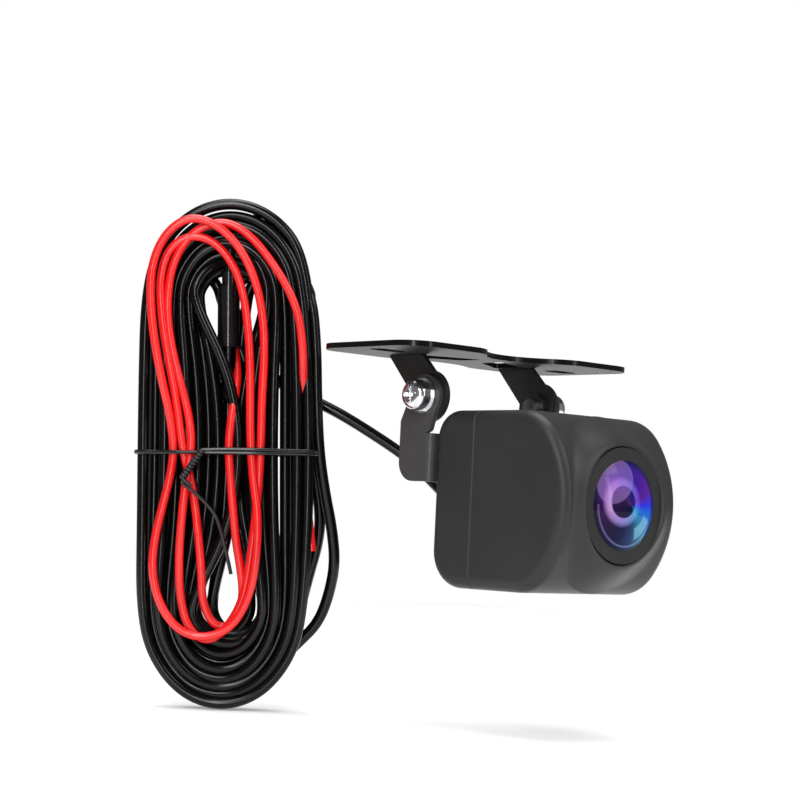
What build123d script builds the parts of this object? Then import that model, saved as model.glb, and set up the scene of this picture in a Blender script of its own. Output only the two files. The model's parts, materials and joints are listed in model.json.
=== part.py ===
"""Rear-view (backup) camera on a tilting butterfly bracket, with its wound-up lead.

Frame, in millimetres: the origin is the middle of the mounting plate's top face, +Z points up out of that
face, the lens looks along -Y and +X runs along the plate. The camera tilts about an axis along X.
"""
import os
from math import cos, pi, radians, sin, tan

from build123d import *

os.makedirs("parts", exist_ok=True)

# Mounting plate
PLATE_LENGTH = 54.0
PLATE_WIDTH = 24.0
SHEET = 0.9
PLATE_CORNER = 5.0
WAIST_FRONT = 6.0
WAIST_REAR = 8.8
BITE_HALF = 9.5
BITE_BLEND = 7.0
SLOT_SPACING = 42.0
SLOT_LENGTH = 6.4
SLOT_WIDTH = 3.4
SLOT_Y = 0.5
WINDOW = [(11.6, 0.8), (11.6, 7.4), (2.4, 1.8), (2.4, -3.0)]
WINDOW_CORNER = 0.5

# Tilt axis, and the stack that clamps each ear
PIVOT_Y = -2.0
PIVOT_Z = -7.9
YOKE_OUTER = 14.6
SLIDE_GAP = 0.04
SCREW_R = 1.5
PIVOT_CLEARANCE = 0.08
COLLAR_R = 2.3
COLLAR_LENGTH = 1.0
SCREW_TIP = 1.2
FLAT_WASHER = (2.9, 0.45)
SPRING_WASHER = (2.55, 0.8)
HEAD_R = 2.55
HEAD_HEIGHT = 2.0
SLIT_WIDTH = 0.45
SLIT_TURN = 42.0
PLATE_EAR_R = 4.3
PLATE_EAR_ROOT = (0.3, 8.3)
PLATE_EAR_NECK = [(1.9, -1.9), (-3.4, 1.7)]
YOKE_EAR_R = 3.6

# Housing
BODY_WIDTH = 27.5
BODY_BACK = -4.0
BODY_FRONT = -33.3
BODY_TOP = -10.2
BODY_BOTTOM = -39.1
AXIS_Z = (BODY_TOP + BODY_BOTTOM) / 2
FRONT_BULGE_R = 18.4
REAR_TOP_R = 4.5
REAR_BOTTOM_R = 6.0
FRONT_CORNER_R = 8.0
SIDE_EDGE_R = 1.9
WALL = 1.7
SEAM_Y = -13.1
SEAM_BEVEL = 0.18
GASKET = 0.6

# Yoke, bent from one strip
WEB_TOP = -14.05
WEB_BOTTOM = -22.0
BEND_R = 1.2
YOKE_REAR = 3.3
YOKE_CORNER_R = 3.2
YOKE_SCREW_X = 6.0
YOKE_SCREW_Z = -18.0
YOKE_SCREW_R = 1.0
YOKE_SCREW_HEAD = (1.9, 1.2)

# Lens stack, along -Y from the sensor
RING_R = 9.24
GLASS_R = 7.17
RING_FRONT = -33.5
DOME_HEIGHT = 1.7
GLASS_FLANGE_R = 7.9
BARREL_R = 6.0
BARREL_BORE = 4.8

# Boards
BOARD_X = 23.0
BOARD_Z = 17.6
BOARD_T = 1.2
SENSOR_BOARD_BACK = -11.2
VIDEO_BOARD_BACK = -7.4
BOARD_POST = (9.5, 7.0)
BOARD_POST_R = 1.7
BOARD_SCREW_R = 0.8
SHELL_POST = (9.8, 11.2)
SHELL_POST_R = 1.9
SHELL_SCREW_R = 0.9
SHELL_SCREW_HEAD = (1.7, 0.9)
SCREW_SINK = 1.0
FRONT_POST_END = -19.0
BOARD_POST_END = -31.0

# Lead, and the hank that its length is wound into
LEAD_D = 1.9
TRIGGER_D = 1.45
GLAND_R = 2.2
GLAND_END = 1.5
LEAD_SPLIT_X = -13.6
HANK_CENTRE = (-28.5, 30.5, -18.2)
HANK_TURN = 43.2
HANK_LEAN = 2.7
HANK_LENGTH = 87.5
HANK_WIDTH = 31.6
HANK_BACK = -3.5
HANK_FRONT = 3.3
TRIGGER_FRONT = 6.2
EYE = (-0.6, 2.0)
EYE_SIZE = (62.0, 4.8)
TRIGGER_LENGTH = 75.0
TRIGGER_WIDTH = 23.0
TRIGGER_EYE = (60.0, 9.0)
TRIGGER_MIDDLE = (0.2, 1.8)
PLUG_START = 18.0
PLUG_HEIGHT = -0.5
PLUG_BODY = (1.9, 10.5)
PLUG_NECK = (1.2, 2.4)
PLUG_PIN = (1.25, 9.4)
TIE_D = 0.9

LEAD_ROUTE = [
    (0.0, 1.5, -24.65),
    (0.0, 5.6, -24.65),
    (-0.2, 9.9, -21.6),
    (-3.0, 13.3, -17.6),
    (-8.6, 18.3, -13.1),
    (-13.5, 22.6, -9.6),
    (-19.8, 28.9, -6.2),
    (-23.5, 31.9, -0.7),
]

plate_ear_outer = YOKE_OUTER - SHEET - SLIDE_GAP
plate_ear_inner = plate_ear_outer - SHEET
body_half = BODY_WIDTH / 2


def facing_front(y):
    """A plane at this Y whose extrusions go forwards, along -Y, with X across and Z up."""
    return Plane.XZ.offset(-y)


def on_axis(y):
    """The same plane, centred on the lens axis."""
    return Plane(origin=(0, y, AXIS_Z), x_dir=(1, 0, 0), z_dir=(0, -1, 0))


def pivot_plane(x):
    """A plane square to the tilt axis at this X, with Y across and Z up."""
    return Plane(origin=(x, PIVOT_Y, PIVOT_Z), x_dir=(0, 1, 0), z_dir=(1, 0, 0))


def four(spots):
    """The four places at plus and minus a pair of offsets from the lens axis."""
    x, z = spots
    return [(x, z), (-x, z), (x, -z), (-x, -z)]


def save(builder, name):
    builder.part.label = name
    export_step(builder.part, f"parts/{name}.step")


# ---------------------------------------------------------------- mounting plate
def bite_radius(depth):
    return (BITE_HALF ** 2 + depth ** 2) / (2 * depth)


def plate_outline():
    """Two broad lobes joined by a waist: a rounded rectangle bitten at the front and the rear."""
    with BuildSketch() as outline:
        Rectangle(PLATE_LENGTH, PLATE_WIDTH)
        fillet(outline.vertices(), PLATE_CORNER)
        for side, waist in ((-1, WAIST_FRONT), (1, WAIST_REAR)):
            radius = bite_radius(PLATE_WIDTH / 2 - waist)
            with Locations((0, side * (waist + radius))):
                Circle(radius, mode=Mode.SUBTRACT)
        corners = [v for v in outline.vertices() if abs(abs(v.X) - BITE_HALF) < 0.5]
        fillet(corners, BITE_BLEND)
    return outline.sketch


def plate_ear():
    """One ear, slanting forwards as it comes down, drawn in the plane of the tilt axis."""
    root_front, root_rear = [y - PIVOT_Y for y in PLATE_EAR_ROOT]
    root_z = -SHEET / 2 - PIVOT_Z
    with BuildSketch() as ear:
        Circle(PLATE_EAR_R)
        with BuildLine():
            Polyline((root_front, root_z), (root_rear, root_z), *PLATE_EAR_NECK, close=True)
        make_face()
        Circle(SCREW_R, mode=Mode.SUBTRACT)
    return ear.sketch


def window(side):
    """The slanting window that one ear was pushed out of, on that side of the middle."""
    with BuildSketch() as opening:
        with BuildLine():
            Polyline(*[(side * x, y) for x, y in WINDOW], close=True)
        make_face()
        fillet(opening.vertices(), WINDOW_CORNER)
    return opening.sketch


with BuildPart() as mounting_plate:
    with BuildSketch(Plane.XY.offset(-SHEET)):
        add(plate_outline())
        with Locations((-SLOT_SPACING / 2, SLOT_Y), (SLOT_SPACING / 2, SLOT_Y)):
            SlotOverall(SLOT_LENGTH, SLOT_WIDTH, mode=Mode.SUBTRACT)
        add(window(-1), mode=Mode.SUBTRACT)
        add(window(1), mode=Mode.SUBTRACT)
    extrude(amount=SHEET)
    for side in (-1, 1):
        start = plate_ear_inner if side > 0 else -plate_ear_outer
        with BuildSketch(pivot_plane(start)):
            add(plate_ear())
        extrude(amount=SHEET)
        collar = plate_ear_inner - COLLAR_LENGTH if side > 0 else -plate_ear_inner
        with BuildSketch(pivot_plane(collar)):
            Circle(COLLAR_R)
            Circle(SCREW_R, mode=Mode.SUBTRACT)
        extrude(amount=COLLAR_LENGTH)
save(mounting_plate, "mounting_plate")


# ---------------------------------------------------------------- pivot fastenings
def stack_start(*below):
    """Distance from the middle to the inner face of a piece that lies outside the ones named."""
    return YOKE_OUTER + SLIDE_GAP + sum(height for radius, height in below)


def ring_pair(radius, hole, inner, height):
    """Two equal rings about the tilt axis, one at each end of it."""
    with BuildPart() as rings:
        for side in (-1, 1):
            with BuildSketch(pivot_plane(inner if side > 0 else -inner - height)):
                Circle(radius)
                Circle(hole, mode=Mode.SUBTRACT)
            extrude(amount=height)
    return rings.part


with BuildPart() as flat_washers:
    add(ring_pair(FLAT_WASHER[0], SCREW_R, stack_start(), FLAT_WASHER[1]))
save(flat_washers, "flat_washers")

with BuildPart() as spring_washers:
    add(ring_pair(SPRING_WASHER[0], SCREW_R, stack_start(FLAT_WASHER), SPRING_WASHER[1]))
    slit_middle = Vector(SPRING_WASHER[0] * 0.85, 0).rotate(Axis.Z, SLIT_TURN)
    with BuildSketch(pivot_plane(-body_half - PLATE_LENGTH)):
        with Locations(Location((slit_middle.X, slit_middle.Y), SLIT_TURN)):
            Rectangle(SPRING_WASHER[0], SLIT_WIDTH)
    extrude(amount=4 * PLATE_LENGTH, mode=Mode.SUBTRACT)
save(spring_washers, "spring_washers")


def pan_screw(shank_r, shank, head_r, head):
    """A cross-recess pan screw: the head's seat is at Z = 0 and its shank runs down from there."""
    with BuildPart() as screw:
        with BuildSketch():
            Circle(head_r)
        extrude(amount=head)
        top_edge = screw.edges().group_by(Axis.Z)[-1]
        fillet(top_edge, head * 0.62)
        with BuildSketch(Plane.XY.offset(head)):
            Rectangle(head_r * 1.15, head_r * 0.26)
            Rectangle(head_r * 0.26, head_r * 1.15)
        extrude(amount=-head * 0.55, mode=Mode.SUBTRACT)
        with BuildSketch():
            Circle(shank_r)
        extrude(amount=-shank)
    return screw.part


def screw_at(point, outwards, shank_r, shank, head_r, head):
    """The same screw, seated at a point with its head pointing outwards."""
    return Plane(origin=point, z_dir=outwards).location * pan_screw(shank_r, shank, head_r, head)


head_seat = stack_start(FLAT_WASHER, SPRING_WASHER)
pivot_shank = head_seat - plate_ear_inner + COLLAR_LENGTH + SCREW_TIP
with BuildPart() as pivot_screws:
    for side in (-1, 1):
        seat = (side * head_seat, PIVOT_Y, PIVOT_Z)
        add(screw_at(seat, (side, 0, 0), SCREW_R, pivot_shank, HEAD_R, HEAD_HEIGHT))
save(pivot_screws, "pivot_screws")


# ---------------------------------------------------------------- yoke
def yoke_ear():
    """One ear of the yoke: a round end on the tilt axis, a neck, and a broad foot joined to the web."""
    front = BODY_BACK - PIVOT_Y + BEND_R
    rear = YOKE_REAR - PIVOT_Y
    top = WEB_TOP - PIVOT_Z
    bottom = WEB_BOTTOM - PIVOT_Z
    with BuildSketch() as foot:
        with BuildLine():
            Polyline((front, bottom), (rear, bottom), (rear, top + 2.0), (rear - 1.2, -1.6), (0, 0),
                     (-2.8, -2.26), (-1.7, top + 0.5), (front, top), close=True)
        make_face()
        fillet(foot.vertices().sort_by(Axis.X)[-2:].sort_by(Axis.Y)[0], YOKE_CORNER_R)
        Circle(YOKE_EAR_R)
        Circle(SCREW_R + PIVOT_CLEARANCE, mode=Mode.SUBTRACT)
    return foot.sketch


with BuildPart() as yoke:
    web_height = WEB_TOP - WEB_BOTTOM
    with BuildSketch(Plane.XY.offset(WEB_BOTTOM)):
        with BuildLine():
            Polyline((-YOKE_OUTER, BODY_BACK + BEND_R + 0.01), (-YOKE_OUTER, BODY_BACK), (YOKE_OUTER, BODY_BACK),
                     (YOKE_OUTER, BODY_BACK + BEND_R + 0.01), (YOKE_OUTER - SHEET, BODY_BACK + BEND_R + 0.01),
                     (YOKE_OUTER - SHEET, BODY_BACK + SHEET), (SHEET - YOKE_OUTER, BODY_BACK + SHEET),
                     (SHEET - YOKE_OUTER, BODY_BACK + BEND_R + 0.01), close=True)
        make_face()
    extrude(amount=web_height)
    outer_bends = yoke.edges().filter_by(Axis.Z).group_by(Axis.Y)[0]
    fillet(outer_bends, BEND_R)
    for side in (-1, 1):
        with BuildSketch(pivot_plane(YOKE_OUTER - SHEET if side > 0 else -YOKE_OUTER)):
            add(yoke_ear())
        extrude(amount=SHEET)
    with Locations(*[Plane(origin=(side * YOKE_SCREW_X, BODY_BACK + SHEET, YOKE_SCREW_Z), z_dir=(0, 1, 0))
                     for side in (-1, 1)]):
        Hole(YOKE_SCREW_R + 0.1)
save(yoke, "yoke")

with BuildPart() as yoke_screws:
    for side in (-1, 1):
        seat = (side * YOKE_SCREW_X, BODY_BACK + SHEET, YOKE_SCREW_Z)
        add(screw_at(seat, (0, 1, 0), YOKE_SCREW_R, 3.6, *YOKE_SCREW_HEAD))
save(yoke_screws, "yoke_screws")


# ---------------------------------------------------------------- housing
def side_outline(inset=0.0):
    """The housing seen from the side: square at the back, bulging in one broad arc at the front."""
    half = (BODY_TOP - BODY_BOTTOM) / 2
    corner_y = BODY_FRONT + FRONT_BULGE_R - (FRONT_BULGE_R ** 2 - half ** 2) ** 0.5
    with BuildSketch() as outline:
        with BuildLine():
            Line((corner_y, BODY_TOP), (BODY_BACK, BODY_TOP))
            Line((BODY_BACK, BODY_TOP), (BODY_BACK, BODY_BOTTOM))
            Line((BODY_BACK, BODY_BOTTOM), (corner_y, BODY_BOTTOM))
            ThreePointArc((corner_y, BODY_BOTTOM), (BODY_FRONT, AXIS_Z), (corner_y, BODY_TOP))
        make_face()
        for near_back, near_top, radius in ((True, True, REAR_TOP_R), (True, False, REAR_BOTTOM_R),
                                            (False, True, FRONT_CORNER_R), (False, False, FRONT_CORNER_R)):
            row = outline.vertices().group_by(Axis.Y)[-1 if near_top else 0]
            fillet(row.sort_by(Axis.X)[-1 if near_back else 0], radius)
        if inset:
            offset(amount=-inset, kind=Kind.INTERSECTION)
    return outline.sketch


def housing():
    """Both shells in one: a hollow block with its curved outline, rounded along both sides."""
    with BuildPart() as shell:
        with BuildSketch(Plane.YZ.offset(-body_half)):
            add(side_outline())
        extrude(amount=BODY_WIDTH)
        side_faces = shell.faces().sort_by(Axis.X)
        fillet(side_faces[0].edges() + side_faces[-1].edges(), SIDE_EDGE_R)
        with BuildSketch(Plane.YZ.offset(WALL - body_half)):
            add(side_outline(WALL))
        extrude(amount=BODY_WIDTH - 2 * WALL, mode=Mode.SUBTRACT)
    return shell.part


shells = housing()

with BuildPart() as front_shell:
    add(shells)
    split(bisect_by=facing_front(SEAM_Y), keep=Keep.TOP)
    outer_rim = front_shell.faces().sort_by(Axis.Y)[-1].outer_wire().edges()
    chamfer(outer_rim, SEAM_BEVEL)
    rim_plane = facing_front(SEAM_Y)
    with BuildSketch(rim_plane):
        with Locations((0, AXIS_Z)):
            Rectangle(BODY_WIDTH - WALL + GASKET, BODY_TOP - BODY_BOTTOM - WALL + GASKET)
            Rectangle(BODY_WIDTH - WALL - GASKET, BODY_TOP - BODY_BOTTOM - WALL - GASKET, mode=Mode.SUBTRACT)
    extrude(amount=GASKET, mode=Mode.SUBTRACT)
    with BuildSketch(on_axis(SEAM_Y)):
        with Locations(*four(SHELL_POST)):
            Circle(SHELL_POST_R)
    extrude(amount=SEAM_Y - FRONT_POST_END)
    with BuildSketch(on_axis(SENSOR_BOARD_BACK - BOARD_T)):
        with Locations(*four(BOARD_POST)):
            Circle(BOARD_POST_R)
    extrude(amount=SENSOR_BOARD_BACK - BOARD_T - BOARD_POST_END)
    with BuildSketch(on_axis(-26.5)):
        Circle(RING_R)
    extrude(amount=10, mode=Mode.SUBTRACT)
    with BuildSketch(on_axis(SEAM_Y)):
        with Locations(*four(SHELL_POST)):
            Circle(SHELL_SCREW_R)
    extrude(amount=5, mode=Mode.SUBTRACT)
    with BuildSketch(on_axis(SENSOR_BOARD_BACK - BOARD_T)):
        with Locations(*four(BOARD_POST)):
            Circle(BOARD_SCREW_R)
    extrude(amount=4, mode=Mode.SUBTRACT)
save(front_shell, "front_shell")

with BuildPart() as shell_gasket:
    with BuildSketch(rim_plane):
        with Locations((0, AXIS_Z)):
            Rectangle(BODY_WIDTH - WALL + GASKET, BODY_TOP - BODY_BOTTOM - WALL + GASKET)
            Rectangle(BODY_WIDTH - WALL - GASKET, BODY_TOP - BODY_BOTTOM - WALL - GASKET, mode=Mode.SUBTRACT)
    extrude(amount=GASKET)
save(shell_gasket, "shell_gasket")

with BuildPart() as rear_shell:
    add(shells)
    split(bisect_by=facing_front(SEAM_Y), keep=Keep.BOTTOM)
    chamfer(rear_shell.faces().sort_by(Axis.Y)[0].outer_wire().edges(), SEAM_BEVEL)
    inner_back = BODY_BACK - WALL
    with BuildSketch(on_axis(inner_back)):
        with Locations(*four(SHELL_POST)):
            Circle(SHELL_POST_R)
    extrude(amount=inner_back - SEAM_Y)
    with BuildSketch(facing_front(inner_back)):
        with Locations((-YOKE_SCREW_X, YOKE_SCREW_Z), (YOKE_SCREW_X, YOKE_SCREW_Z)):
            Circle(2.0)
    extrude(amount=1.4)
    with BuildSketch(facing_front(BODY_BACK)):
        with Locations((-YOKE_SCREW_X, YOKE_SCREW_Z), (YOKE_SCREW_X, YOKE_SCREW_Z)):
            Circle(YOKE_SCREW_R)
    extrude(amount=2.7, mode=Mode.SUBTRACT)
    with BuildSketch(on_axis(BODY_BACK)):
        Circle(GLAND_R)
        with Locations(*four(SHELL_POST)):
            Circle(SHELL_SCREW_R + 0.2)
    extrude(amount=10, mode=Mode.SUBTRACT)
    with BuildSketch(on_axis(BODY_BACK)):
        with Locations(*four(SHELL_POST)):
            Circle(SHELL_SCREW_HEAD[0] + 0.1)
    extrude(amount=SCREW_SINK, mode=Mode.SUBTRACT)
save(rear_shell, "rear_shell")

with BuildPart() as shell_screws:
    for x, z in four(SHELL_POST):
        seat = (x, BODY_BACK - SCREW_SINK, AXIS_Z + z)
        add(screw_at(seat, (0, 1, 0), SHELL_SCREW_R, 12.6, *SHELL_SCREW_HEAD))
save(shell_screws, "shell_screws")


# ---------------------------------------------------------------- lens stack
def turned(name, *steps):
    """A piece turned about the lens axis from rings: (back Y, front Y, outer radius, hole radius)."""
    with BuildPart() as piece:
        for back, front, outer, hole in steps:
            with BuildSketch(on_axis(back)):
                Circle(outer)
                if hole:
                    Circle(hole, mode=Mode.SUBTRACT)
            extrude(amount=back - front)
    save(piece, name)


def lens(name, radius, back, front, back_bulge, front_bulge):
    """A glass element: an edge cylinder with a spherical face, bulging or hollow, at each end."""
    with BuildPart() as element:
        with BuildSketch(Plane.YZ):
            with BuildLine():
                edge_back = (back, AXIS_Z + radius)
                edge_front = (front, AXIS_Z + radius)
                far_back = (back, AXIS_Z - radius)
                far_front = (front, AXIS_Z - radius)
                ThreePointArc(edge_back, (back + back_bulge, AXIS_Z), far_back)
                Line(far_back, far_front)
                ThreePointArc(far_front, (front - front_bulge, AXIS_Z), edge_front)
                Line(edge_front, edge_back)
            make_face()
            with Locations((0, AXIS_Z - 50)):
                Rectangle(200, 100, mode=Mode.SUBTRACT)
        revolve(axis=Axis((0, 0, AXIS_Z), (0, 1, 0)))
    save(element, name)


turned("lens_bezel",
       (-28.0, -31.4, RING_R, GLASS_FLANGE_R + 0.1),
       (-31.4, RING_FRONT, RING_R, GLASS_R + 0.02))
lens("front_glass", GLASS_R, -30.6, RING_FRONT, -1.5, DOME_HEIGHT)
turned("glass_retainer", (-30.6, -31.4, GLASS_FLANGE_R, GLASS_R + 0.02))
turned("lens_seal", (-29.8, -30.6, GLASS_FLANGE_R, 6.6))
turned("lens_barrel",
       (-14.8, -28.6, BARREL_R, BARREL_BORE),
       (-28.6, -29.8, GLASS_FLANGE_R, 5.6))
turned("aperture_ring", (-23.4, -23.9, BARREL_BORE, 1.5))
lens("second_element", BARREL_BORE, -26.0, -27.6, 0.5, 0.9)
lens("middle_element", BARREL_BORE, -20.4, -22.4, 0.8, 0.4)
lens("rear_element", BARREL_BORE, -16.2, -18.2, 0.5, 0.9)

sensor_front = SENSOR_BOARD_BACK - BOARD_T
HOLDER_BASE = 2.4
with BuildPart() as lens_holder:
    with BuildSketch(on_axis(sensor_front)):
        Rectangle(13.0, 13.0)
        Rectangle(9.4, 9.4, mode=Mode.SUBTRACT)
    extrude(amount=HOLDER_BASE)
    with BuildSketch(on_axis(sensor_front - HOLDER_BASE)):
        Circle(7.3)
        Circle(BARREL_R, mode=Mode.SUBTRACT)
    extrude(amount=8.0)
    fillet(lens_holder.edges().filter_by(Axis.Y).filter_by(GeomType.LINE).group_by(Axis.X)[0], 0.8)
save(lens_holder, "lens_holder")


def block(name, back, depth, x_size, z_size, x=0.0, z=0.0):
    """A square piece on a board: its back face at this Y, its middle at x, z from the lens axis."""
    with BuildPart() as piece:
        with BuildSketch(on_axis(back)):
            with Locations((x, z)):
                Rectangle(x_size, z_size)
        extrude(amount=depth)
    save(piece, name)


block("image_sensor", sensor_front, 1.2, 7.4, 6.6)
block("ir_filter", sensor_front - 1.6, 0.6, 9.0, 9.0)


def board(name, back):
    """A glass-fibre board with four clearance holes."""
    with BuildPart() as piece:
        with BuildSketch(on_axis(back)):
            Rectangle(BOARD_X, BOARD_Z)
            with Locations(*four(BOARD_POST)):
                Circle(BOARD_SCREW_R + 0.1, mode=Mode.SUBTRACT)
        extrude(amount=BOARD_T)
    save(piece, name)


board("sensor_board", SENSOR_BOARD_BACK)
board("video_board", VIDEO_BOARD_BACK)

video_front = VIDEO_BOARD_BACK - BOARD_T
with BuildPart() as board_spacers:
    with BuildSketch(on_axis(video_front)):
        with Locations(*four(BOARD_POST)):
            RegularPolygon(2 * BOARD_SCREW_R, 6)
            Circle(BOARD_SCREW_R, mode=Mode.SUBTRACT)
    extrude(amount=video_front - SENSOR_BOARD_BACK)
save(board_spacers, "board_spacers")

with BuildPart() as board_screws:
    for x, z in four(BOARD_POST):
        add(screw_at((x, VIDEO_BOARD_BACK, AXIS_Z + z), (0, 1, 0), BOARD_SCREW_R, 8.6, 1.4, 0.8))
save(board_screws, "board_screws")

block("video_chip", video_front, 0.9, 6.0, 6.0, -1.0, 0.5)
block("memory_chip", video_front, 0.8, 3.2, 4.2, 5.6, -4.0)
block("power_coil", video_front, 1.5, 3.6, 3.6, -6.2, -4.4)
block("wire_header", VIDEO_BOARD_BACK + 1.5, 1.5, 6.4, 2.4, 0.0, -5.6)

with BuildPart() as header_wires:
    for column in range(4):
        x = (column - 1.5) * 0.9
        with BuildSketch(Plane.XY.offset(AXIS_Z - 4.4)):
            with Locations((x, VIDEO_BOARD_BACK + 0.6)):
                Circle(0.35)
        extrude(amount=1.6)
save(header_wires, "header_wires")


# ---------------------------------------------------------------- gland and lead
GLAND_FLANGE = 0.8
with BuildPart() as cable_gland:
    with BuildSketch(on_axis(BODY_BACK - WALL)):
        Circle(3.0)
    extrude(amount=GLAND_FLANGE)
    with BuildSketch(on_axis(BODY_BACK)):
        Circle(GLAND_R)
    extrude(amount=WALL)
    with BuildSketch(on_axis(BODY_BACK)):
        Circle(GLAND_R + 0.2)
    with BuildSketch(on_axis(GLAND_END)):
        Circle(LEAD_D / 2 + 0.35)
    loft()
save(cable_gland, "cable_gland")


def corner_radii(points, name):
    """The largest arc that each corner's two runs allow, printed with its turn."""
    radii = []
    for before, corner, after in zip(points, points[1:], points[2:]):
        run_in = Vector(*corner) - Vector(*before)
        run_out = Vector(*after) - Vector(*corner)
        turn = run_in.get_angle(run_out)
        radii.append(0.45 * min(run_in.length, run_out.length) / tan(radians(turn / 2)))
    print(name, "radii", [round(radius, 1) for radius in radii])
    return radii


def tube(points, diameter, name):
    """A round cord along straight runs joined by tangent arcs; its volume is checked by its length."""
    with BuildPart() as cord:
        with BuildLine() as path:
            FilletPolyline(*points, radius=corner_radii(points, name))
        with BuildSketch(Plane(origin=path.line @ 0, z_dir=path.line % 0)):
            Circle(diameter / 2)
        sweep()
    length = path.wires()[0].length
    expected = pi * diameter ** 2 / 4 * length
    print(name, "length", round(length, 1), "volume ratio", round(cord.part.volume / expected, 4))
    return cord.part


whole_lead = tube(LEAD_ROUTE, LEAD_D, "lead")
SPLIT_GAP = 0.2

with BuildPart() as camera_lead:
    add(whole_lead)
    split(bisect_by=Plane.YZ.offset(LEAD_SPLIT_X), keep=Keep.TOP)
save(camera_lead, "camera_lead")

with BuildPart() as lead_tail:
    add(whole_lead)
    split(bisect_by=Plane.YZ.offset(LEAD_SPLIT_X - SPLIT_GAP), keep=Keep.BOTTOM)
save(lead_tail, "lead_tail")


# ---------------------------------------------------------------- hank, trigger wire, plug and tie
turn = radians(HANK_TURN)
lean = radians(HANK_LEAN)
hank_across = Vector(cos(turn) * cos(lean), -sin(turn) * cos(lean), sin(lean))
hank_towards = Vector(-sin(turn), -cos(turn), 0)


def hank_plane(height):
    """The plane of the hank: X across it, Y along it, and height towards the side that faces out."""
    origin = Vector(*HANK_CENTRE) + hank_towards * height
    return Plane(origin=origin, x_dir=hank_across, z_dir=hank_towards)


def hank(name, length, width, middle, eye_middle, eye_size, back, front):
    """The outer shape of a flat bundle of turns, with the narrow eye down its middle."""
    with BuildPart() as bundle:
        with BuildSketch(hank_plane(back)):
            with Locations(Location(middle, 90)):
                SlotOverall(length, width)
            with Locations(Location(eye_middle, 90)):
                SlotOverall(*eye_size, mode=Mode.SUBTRACT)
        extrude(amount=front - back)
    save(bundle, name)


hank("cable_hank", HANK_LENGTH, HANK_WIDTH, (0, 0), EYE, EYE_SIZE, HANK_BACK, HANK_FRONT)
hank("trigger_hank", TRIGGER_LENGTH, TRIGGER_WIDTH, TRIGGER_MIDDLE, TRIGGER_MIDDLE, TRIGGER_EYE, HANK_FRONT,
     TRIGGER_FRONT)

plug_origin = hank_plane(PLUG_HEIGHT).from_local_coords(Vector(EYE[0], PLUG_START, 0))
plug_plane = Plane(origin=plug_origin, x_dir=hank_across, z_dir=hank_plane(0).y_dir)

with BuildPart() as plug_body:
    with BuildSketch(plug_plane):
        Circle(PLUG_BODY[0])
    extrude(amount=PLUG_BODY[1])
    with BuildSketch(plug_plane.offset(PLUG_BODY[1])):
        Circle(PLUG_NECK[0])
    extrude(amount=PLUG_NECK[1])
save(plug_body, "plug_body")

with BuildPart() as plug_pin:
    with BuildSketch(plug_plane):
        Circle(PLUG_PIN[0])
    extrude(amount=-PLUG_PIN[1])
    chamfer(plug_pin.edges().sort_by(Axis.Z)[0], 0.5)
save(plug_pin, "plug_pin")

TIE_GAP = 0.2
TIE_HALF = HANK_WIDTH / 2 + TIE_D / 2 + TIE_GAP
TIE_BACK = HANK_BACK - TIE_D / 2 - TIE_GAP
TIE_FRONT = TRIGGER_FRONT + TIE_D / 2 + TIE_GAP
TIE_BEND = 1.0
TIE_TAIL = [(-4.3, 0.0), (-6.6, -4.8), (-2.6, -8.0), (-1.0, -11.6), (0.4, -20.0)]
tie_plane = Plane(origin=HANK_CENTRE, x_dir=hank_across, z_dir=hank_plane(0).y_dir)

with BuildPart() as twist_tie:
    with BuildLine(tie_plane) as band:
        FilletPolyline((TIE_HALF, -TIE_FRONT), (TIE_HALF, -TIE_BACK), (-TIE_HALF, -TIE_BACK),
                       (-TIE_HALF, -TIE_FRONT), radius=TIE_BEND, close=True)
    with BuildSketch(Plane(origin=band.line @ 0, z_dir=band.line % 0)):
        Circle(TIE_D / 2)
    sweep()
    with BuildLine(hank_plane(TIE_FRONT)) as tail:
        FilletPolyline(*TIE_TAIL, radius=1.0)
    with BuildSketch(Plane(origin=tail.line @ 0, z_dir=tail.line % 0)):
        Circle(TIE_D / 2)
    sweep(path=tail.line)
save(twist_tie, "twist_tie")
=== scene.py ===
"""Looks of the backup camera: its wound lead, trigger wire, tie, lens, finishes, light and camera.

Everything is in metres in the part's own frame: the origin is the middle of the mounting plate's top face,
+Z points up out of it, the lens looks along -Y and +X runs along the plate.
"""

import json
from math import cos, pi, radians, sin

import bpy
from mathutils import Matrix, Vector


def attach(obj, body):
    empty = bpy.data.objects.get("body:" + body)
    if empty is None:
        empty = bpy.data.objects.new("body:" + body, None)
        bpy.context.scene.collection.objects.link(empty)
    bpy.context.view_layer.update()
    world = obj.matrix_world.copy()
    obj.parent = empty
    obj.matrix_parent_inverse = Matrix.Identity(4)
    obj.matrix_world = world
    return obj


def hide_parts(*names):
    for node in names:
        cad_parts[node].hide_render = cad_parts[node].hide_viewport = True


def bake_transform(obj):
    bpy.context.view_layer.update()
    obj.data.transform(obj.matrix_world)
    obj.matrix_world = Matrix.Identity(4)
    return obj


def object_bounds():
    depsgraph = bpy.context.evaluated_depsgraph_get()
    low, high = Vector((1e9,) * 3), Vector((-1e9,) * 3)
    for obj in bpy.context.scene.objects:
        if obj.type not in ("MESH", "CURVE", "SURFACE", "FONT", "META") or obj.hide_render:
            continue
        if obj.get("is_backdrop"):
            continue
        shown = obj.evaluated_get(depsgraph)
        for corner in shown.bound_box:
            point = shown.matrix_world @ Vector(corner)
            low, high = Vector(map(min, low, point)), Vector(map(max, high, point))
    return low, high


MM = 0.001

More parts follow.
